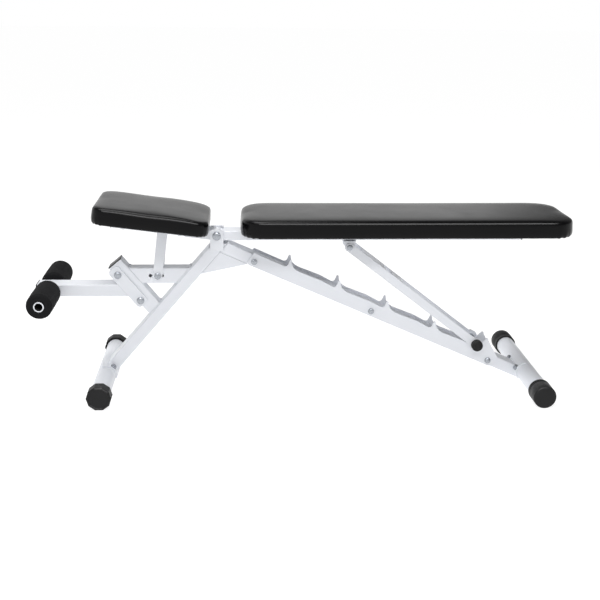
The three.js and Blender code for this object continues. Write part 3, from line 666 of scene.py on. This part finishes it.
# foam rollers
rollerLook = {"sides": 96, "rows": 40, "round": 8.0, "barrel": 0.8, "lump": 0.45, "lumpSize": 26, "crumb": 6,
              "bore": 12.9, "spare": 0.4, "flare": 3}
for place, side in sideOf.items():
    name = f"foam_roller_{place}"
    low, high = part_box(name)
    centre, half = middleOf(name), (high.y - low.y) / 2
    radius, bore = (high.z - low.z) / 2 - rollerLook["spare"] * mm, rollerLook["bore"] * mm
    rounding, flare = rollerLook["round"] * mm, rollerLook["flare"] * mm
    profile = [(bore, -half + 2 * mm), (bore + 1.2 * mm, -half + 0.5 * mm), (bore + flare, -half)]
    profile += [(bore + flare + (radius - rounding - bore - flare) * k / 4, -half) for k in range(1, 5)]
    profile += [(radius - rounding * (1 - out), -half + rounding * up) for out, up in quarter(8)]
    straight = half - rounding
    body = [(radius + rollerLook["barrel"] * mm * (1 - (k / rollerLook["rows"] * 2 - 1) ** 2) * 0.5,
             -straight + 2 * straight * k / rollerLook["rows"]) for k in range(1, rollerLook["rows"])]
    profile = profile + body + [(r, -z) for r, z in reversed(profile)]
    shape = turned(([], []), profile, aimed(centre, (0, 1, 0)), rollerLook["sides"])
    for point in shape[0]:
        away = Vector((point.x - centre.x, 0, point.z - centre.z))
        if away.length > bore + 1 * mm:
            fine = noise.noise(point / (rollerLook["crumb"] * mm))
            drift = noise.noise(point / (rollerLook["lumpSize"] * mm)) + 0.4 * fine
            point += away.normalized() * rollerLook["lump"] * mm * drift
    title = f"foamRoller{place.title()}"
    roller = piece(title, shape, foamMat, f"roller_{place}", [name], sharp=60)
print("foam rollers turned")


# pads: vinyl over foam over a board, inflated as cloth and pulled tight underneath
def planRing(halfX, halfY, corner, inset, z, steps=10, along=36, across=12):  # a rounded rectangle
    a, b, c = halfX - inset, halfY - inset, max(corner - inset, 4 * mm)
    points = []
    centres = ((a - c, b - c), (-a + c, b - c), (-a + c, -b + c), (a - c, -b + c))
    for (cx, cy), start in zip(centres, (0, 90, 180, 270)):
        arc = [(cx + c * math.cos(math.radians(start + 90 * k / steps)),
                cy + c * math.sin(math.radians(start + 90 * k / steps))) for k in range(steps + 1)]
        points.append(arc)
    ring = []
    for i, arc in enumerate(points):
        ring += arc
        following, count = points[(i + 1) % 4][0], (along if i % 2 == 0 else across)
        last = arc[-1]
        for k in range(1, count):
            ring.append((last[0] + (following[0] - last[0]) * k / count,
                         last[1] + (following[1] - last[1]) * k / count))
    return [(x, y, z) for x, y in ring]


def padShell(look, halfX, halfY, thick):  # base at Z = 0; returns a closed shell
    top, base, tuck = look["topEdge"] * mm, look["baseEdge"] * mm, look["tuck"] * mm
    levels = [(halfY * (1 - share), 0) for share in (0.35, 0.7)] + [(tuck, 0)]  # inset, height of each ring
    levels += [(tuck * (1 - out), base * up) for out, up in quarter(5)]
    levels.append((0, (base + thick - top) / 2))
    for k in range(0, 8):
        t = math.pi / 2 * k / 7
        levels.append((top * (1 - math.cos(t)), thick - top * 0.8 * (1 - math.sin(t))))
    for share in (0.85, 0.7, 0.5, 0.3, 0.15):
        levels.append((top + (halfY - top) * (1 - share), thick + look["crown"] * mm * (1 - share ** 2)))
    rings = [planRing(halfX, halfY, look["corner"] * mm, inset, height) for inset, height in levels]
    return [[(0, 0, 0)], *rings, [(0, 0, thick + look["crown"] * mm)]]


def evened(values, ends, rounds):  # averages vectors over a mesh's edges
    counts = np.bincount(ends.ravel(), minlength=len(values))[:, None]
    for _ in range(rounds):
        total = np.zeros_like(values)
        np.add.at(total, ends[:, 0], values[ends[:, 1]])
        np.add.at(total, ends[:, 1], values[ends[:, 0]])
        values = (values + total / counts) / 2
    return values


def inflate(pad, look, thick):  # cloth with air pressure; the underside is held by the board
    rest = [v.co.copy() for v in pad.data.vertices]
    held = pad.vertex_groups.new(name="board")
    for v in pad.data.vertices:
        height = v.co.z / thick
        held.add([v.index], 1.0 if height < 0.12 else max(0.0, 0.5 - height) * 0.8, "REPLACE")
    cloth = pad.modifiers.new("air", "CLOTH")
    settings = cloth.settings
    settings.quality, settings.mass = 4, look["mass"]
    settings.tension_stiffness = settings.compression_stiffness = look["stiffness"]
    settings.shear_stiffness, settings.bending_stiffness = look["stiffness"] / 2, look["bending"]
    settings.use_pressure, settings.uniform_pressure_force = True, look["pressure"]
    settings.effector_weights.gravity = 0
    settings.vertex_group_mass = "board"
    cloth.collision_settings.use_collision = False
    cloth.point_cache.frame_start, cloth.point_cache.frame_end = 1, look["frames"]
    for step in range(1, look["frames"] + 1):
        scene.frame_set(step)
    blown = pad.evaluated_get(bpy.context.evaluated_depsgraph_get())
    moved = [v.co.copy() for v in blown.data.vertices]
    pad.modifiers.remove(cloth)
    pad.vertex_groups.clear()
    scene.frame_set(1)
    shifts, limit = np.array([end - start for start, end in zip(rest, moved)]), look["cap"] * mm
    lengths = np.maximum(np.linalg.norm(shifts, axis=1, keepdims=True), 1e-9)
    shifts *= limit * np.tanh(lengths / limit) / lengths
    ends = np.array([e.vertices[:] for e in pad.data.edges])
    taut = evened(shifts, ends, look["taut"])  # the foam carries the vinyl, so most small wrinkles pull out
    shifts = taut + look["wrinkle"] * (shifts - taut)
    for v, start, shift in zip(pad.data.vertices, rest, shifts):
        v.co = start + Vector(shift)


def finishPad(pad, look, halfX, halfY, thick):  # gathers at the corners, tucks along the lower edge
    corner = look["corner"] * mm
    for v in pad.data.vertices:
        x, y, z = v.co
        overX, overY = abs(x) - (halfX - corner), abs(y) - (halfY - corner)
        low = max(0.0, 1 - z / (thick * 0.55))
        if overX > 0 and overY > 0:
            turn = math.atan2(overY, overX)
            reach = math.hypot(overX, overY) / corner
            fold = math.sin(turn * look["gathers"] * 4 + 0.6 * math.sin(turn * 9)) * low * min(1, reach) ** 3
            v.co += Vector((math.copysign(math.cos(turn), x), math.copysign(math.sin(turn), y), 0)) * (
                look["gather"] * mm * fold)
            if z < 4 * mm and reach > 0.45:
                v.co.z -= look["pleat"] * mm * max(0.0, math.sin(turn * look["gathers"] * 4)) * min(1, reach)
        hinge = 1 - (halfX - x * look["hingeEnd"]) / (look["slope"] * mm)
        if hinge > 0:  # the end at the hinge slopes a little, so that the pads clear each other
            v.co.z -= look["dip"] * mm * hinge ** 1.5 * z / thick
        edge = max(abs(x) / halfX, abs(y) / halfY)
        if edge > 0.8:
            v.co.z += 0.25 * mm * noise.noise(Vector((x, y, 0)) * 45) * low
            v.co.z -= look["roll"] * mm * low * min(1, (edge - 0.8) * 8)  # the folded vinyl thickens the rim
            sway = 0.3 * mm * noise.noise(Vector((x * 14, y * 14, 3)))
            v.co += Vector((sway if abs(x) / halfX > 0.9 else 0, sway if abs(y) / halfY > 0.9 else 0, 0))


fitShares = ((0.2, 99.8), (3, 97), (10, 74))  # percentiles along each axis that lie on the pad's faces


def fitTo(mesh, low, high):  # brings the middle of each face back to the solid's size
    points = np.array([v.co for v in mesh.vertices])
    spans = [np.percentile(points[:, i], share) for i, share in enumerate(fitShares)]
    for v in mesh.vertices:
        v.co = [low[i] + (v.co[i] - a) / (b - a) * (high[i] - low[i]) for i, (a, b) in enumerate(spans)]


def makePad(name, node, axes, look):
    low, high = boxIn(node, axes)
    centre, half, thick = (low + high) / 2, (high - low) / 2, high.z - low.z
    shrink = look["shrink"] * mm
    rings = padShell(look, half.x - shrink, half.y - shrink, thick - look["crown"] * mm - shrink * 0.5)
    shell = addRings(([], []), rings, Matrix.Identity(4))
    pad = piece(name, shell, vinylMat, bodyOf(node), [node])
    pad.parent = None  # it is shaped at the origin, and rides again once it is in place
    remesh = pad.modifiers.new("even", "REMESH")
    remesh.mode, remesh.voxel_size, remesh.use_smooth_shade = "VOXEL", look["voxel"] * mm, True
    even = bpy.data.meshes.new_from_object(pad.evaluated_get(bpy.context.evaluated_depsgraph_get()))
    pad.modifiers.clear()
    pad.data = even
    inflate(pad, look, thick)
    bm = bmesh.new()
    bm.from_mesh(pad.data)
    for v in bm.verts:  # the board keeps the underside flat
        v.co.z = max(v.co.z, 0.0)
    evenly = {"factor": 0.5, "use_axis_x": True, "use_axis_y": True, "use_axis_z": True}
    for _ in range(look["relax"]):
        bmesh.ops.smooth_vert(bm, verts=bm.verts, **evenly)
    bmesh.ops.subdivide_edges(bm, edges=bm.edges, cuts=1, use_grid_fill=True, smooth=0.0)
    bmesh.ops.smooth_vert(bm, verts=bm.verts, **evenly)
    bm.to_mesh(pad.data)
    bm.free()
    finishPad(pad, look, half.x, half.y, thick)
    fitTo(pad.data, Vector((-half.x, -half.y, 0)), Vector((half.x, half.y, thick)))
    pad.data.transform(axes @ Matrix.Translation((centre.x, centre.y, low.z)))
    pad.data.polygons.foreach_set("use_smooth", [True] * len(pad.data.polygons))
    pad.data.materials.clear()
    pad.data.materials.append(vinylMat)
    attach(pad, bodyOf(node))
    print(name, "made,", len(pad.data.polygons), "faces")
    return pad


backPadLook = {"corner": 60, "topEdge": 6, "baseEdge": 5, "tuck": 3, "crown": 1.2, "shrink": 1.0, "voxel": 5,
               "stiffness": 25, "bending": 6, "mass": 0.4, "pressure": 4.0, "frames": 20, "cap": 3.0,
               "taut": 40, "wrinkle": 0.12, "relax": 5, "gathers": 5, "gather": 0.6, "pleat": 1.4,
               "roll": 1.6, "hingeEnd": -1, "slope": 45, "dip": 3, "tubeHalf": 34}
seatPadLook = {**backPadLook, "corner": 36, "crown": 0.8, "voxel": 4.5, "cap": 2.2, "gathers": 4,
               "hingeEnd": 1, "slope": 110, "dip": 7, "tubeHalf": 28}
makePad("backrestPad", "backrest_pad", backAxes, backPadLook)
makePad("seatPad", "seat_pad", seatAxes, seatPadLook)

# dust cloth under each pad, with its staples
coverLook = {"inset": 15, "thick": 0.4, "lift": 0.1, "pucker": 0.12, "every": 32, "crown": 10, "wire": 0.7,
             "legUp": 0.8, "bend": 0.8}


def addStaple(shape, matrix):  # a crown of flat wire with its two legs going up into the board
    half, wire = coverLook["crown"] / 2 * mm, coverLook["wire"] / 2 * mm
    up, bend = coverLook["legUp"] * mm, coverLook["bend"] * mm
    path = soften([(-half, up), (-half, -wire), (half, -wire), (half, up)], bend, 3)[4:-4]
    path = [(-half, up), *path, (half, up)]
    rings = []
    for k, (x, z) in enumerate(path):
        before, after = path[max(k - 1, 0)], path[min(k + 1, len(path) - 1)]
        along = Vector((after[0] - before[0], 0, after[1] - before[1])).normalized()
        across = Vector((-along.z, 0, along.x))
        middle, ring = Vector((x, 0, z)), []
        for t in (math.pi / 4 + math.pi / 2 * i for i in range(4)):
            ring.append(middle + across * wire * math.cos(t) + Vector((0, wire * 1.4 * math.sin(t), 0)))
        rings.append(ring)
    addRings(shape, [[(path[0][0], 0, path[0][1])], *rings, [(path[-1][0], 0, path[-1][1])]], matrix)


def makeCover(name, padNode, boardNode, axes, look):
    low, high = boxIn(padNode, axes)
    corner = look["corner"] * mm
    centre, half = (low + high) / 2, (high - low) / 2
    inset, thick, lift = coverLook["inset"] * mm, coverLook["thick"] * mm, coverLook["lift"] * mm
    matrix = axes @ Matrix.Translation((centre.x, centre.y, low.z - lift))
    levels = ((half.y * 0.6, 0), (inset, 0), (inset - 0.3 * mm, -thick / 2), (inset, -thick),
              (half.y * 0.6, -thick))
    rings = [planRing(half.x, half.y, corner, inward, height) for inward, height in levels]
    cover = addRings(([], []), [[(0, 0, 0)], *rings, [(0, 0, -thick)]], Matrix.Identity(4))
    for point in cover[0]:  # the cloth puckers a little between staples
        rim = max(abs(point.x) / half.x, abs(point.y) / half.y)
        if rim > 0.7:
            point.z += coverLook["pucker"] * mm * noise.noise(Vector((point.x, point.y, 0)) * 60)
    for point in cover[0]:
        point[:] = matrix @ point
    piece(name, cover, clothMat, bodyOf(padNode), [boardNode])
    staples, line = ([], []), planRing(half.x, half.y, corner, inset + 5 * mm, 0)
    walked, due = 0.0, coverLook["every"] / 2 * mm
    for a, b in zip(line, line[1:] + line[:1]):
        a, b = Vector(a), Vector(b)
        step = (b - a).length
        while step and walked + step > due:
            at = a.lerp(b, (due - walked) / step)
            due += coverLook["every"] * mm
            if abs(at.y) < look["tubeHalf"] * mm:  # the tube is here
                continue
            lean = math.atan2(b.y - a.y, b.x - a.x) + 0.25 * noise.noise(at * 90)
            spot = matrix @ Matrix.Translation((at.x, at.y, -thick))
            addStaple(staples, spot @ Matrix.Rotation(lean, 4, "Z"))
        walked += step
    piece(name.replace("DustCloth", "Staples"), staples, zincMat, bodyOf(padNode))


makeCover("backrestDustCloth", "backrest_pad", "backrest_board", backAxes, backPadLook)
makeCover("seatDustCloth", "seat_pad", "seat_board", seatAxes, seatPadLook)
print("dust cloths stapled")


# stage
stageLook = {"size": 60, "paper": "#a0a0a0", "white": "#ffffff", "glow": 0.88}
bm = bmesh.new()
bmesh.ops.create_grid(bm, x_segments=1, y_segments=1, size=stageLook["size"] / 2)
floorMesh = bpy.data.meshes.new("floor")
bm.to_mesh(floorMesh)
bm.free()
floorMat = bpy.data.materials.new("paleSeamlessPaper")
floorMat.use_nodes = True
paper = floorMat.node_tree.nodes["Principled BSDF"]
paper.inputs["Base Color"].default_value = linear(stageLook["paper"])
paper.inputs["Roughness"].default_value = 1.0
paper.inputs["Specular IOR Level"].default_value = 0.0
paper.inputs["Emission Color"].default_value = linear(stageLook["white"])
paper.inputs["Emission Strength"].default_value = stageLook["glow"]
floorMesh.materials.append(floorMat)
floor = bpy.data.objects.new("floor", floorMesh)
scene.collection.objects.link(floor)

worldLook = {"low": 0.92, "high": 0.22, "lowTop": 0.30, "highFrom": 0.66, "side": 0.22, "sideFrom": 0.19,
             "sideTo": 0.31, "hazeFrom": 0.02, "hazeTo": 0.14}
world = bpy.data.worlds.new("studio")
scene.world = world
world.use_nodes = True
tree = world.node_tree
tree.nodes.clear()
way = put(tree, "ShaderNodeSeparateXYZ", {0: put(tree, "ShaderNodeTexCoord").outputs["Generated"]})
walls = put(tree, "ShaderNodeMapRange", {"Value": way.outputs["X"], "From Min": worldLook["sideFrom"],
                                         "From Max": worldLook["sideTo"], "To Min": worldLook["low"],
                                         "To Max": worldLook["side"]}, interpolation_type="SMOOTHSTEP")
rise = put(tree, "ShaderNodeMapRange", {"Value": way.outputs["Z"], "From Min": worldLook["lowTop"],
                                        "From Max": worldLook["highFrom"]}, interpolation_type="SMOOTHSTEP")
upper = put(tree, "ShaderNodeMix", {0: rise.outputs[0], 2: walls.outputs[0], 3: worldLook["high"]},
            data_type="FLOAT")
haze = put(tree, "ShaderNodeMapRange", {"Value": way.outputs["Z"], "From Min": worldLook["hazeFrom"],
                                        "From Max": worldLook["hazeTo"]}, interpolation_type="SMOOTHSTEP")
level = put(tree, "ShaderNodeMix", {0: haze.outputs[0], 2: 1.0, 3: upper.outputs[0]}, data_type="FLOAT")
sky = put(tree, "ShaderNodeBackground", {"Color": linear(stageLook["white"]), "Strength": level.outputs[0]})
put(tree, "ShaderNodeOutputWorld", {"Surface": sky.outputs[0]})

lights = {  # place, aim, size, power, and whether diffuse and glossy surfaces catch it
    "frontSoftbox": ((0.1, -1.9, 2.3), (0, 0, 0.35), (2.8, 0.32), 22, (True, False)),
    "frontBanner": ((0.1, -1.9, 2.3), (0, 0, 0.4), (3.0, 1.1), 135, (False, True)),
    "topSoftbox": ((-0.7, 0.2, 2.8), (-0.2, 0, 0.3), (2.4, 1.4), 52, (True, True)),
}
for name, (place, aim, size, power, (soft, shiny)) in lights.items():
    lamp = bpy.data.lights.new(name, "AREA")
    lamp.shape, lamp.size, lamp.size_y, lamp.energy = "RECTANGLE", size[0], size[1], power
    lightObject = bpy.data.objects.new(name, lamp)
    scene.collection.objects.link(lightObject)
    lightObject.location = place
    lightObject.visible_diffuse, lightObject.visible_glossy = soft, shiny
    lightObject.rotation_euler = (Vector(aim) - Vector(place)).to_track_quat("-Z", "Y").to_euler()

cameraLook = {"lens": 62.48, "sensor": 36, "place": (-0.1595, -2.5814, 0.9740), "pitch": 16.34, "yaw": 3.43,
              "roll": 0.643}
camera = bpy.data.objects.new("camera", bpy.data.cameras.new("camera"))
scene.collection.objects.link(camera)
camera.data.lens, camera.data.sensor_width = cameraLook["lens"], cameraLook["sensor"]
pitch, yaw, roll = (math.radians(cameraLook[k]) for k in ("pitch", "yaw", "roll"))
ahead = Vector((math.sin(yaw) * math.cos(pitch), math.cos(yaw) * math.cos(pitch), -math.sin(pitch)))
right = Vector((math.cos(yaw), -math.sin(yaw), 0))
up = right.cross(ahead)
rolledRight = right * math.cos(roll) + up * math.sin(roll)
rolledUp = up * math.cos(roll) - right * math.sin(roll)
camera.matrix_world = Matrix.Translation(cameraLook["place"]) @ Matrix(
    (rolledRight, rolledUp, -ahead)).transposed().to_4x4()
scene.camera = camera
scene.view_settings.view_transform = "Standard"
print("stage, lights and camera set")
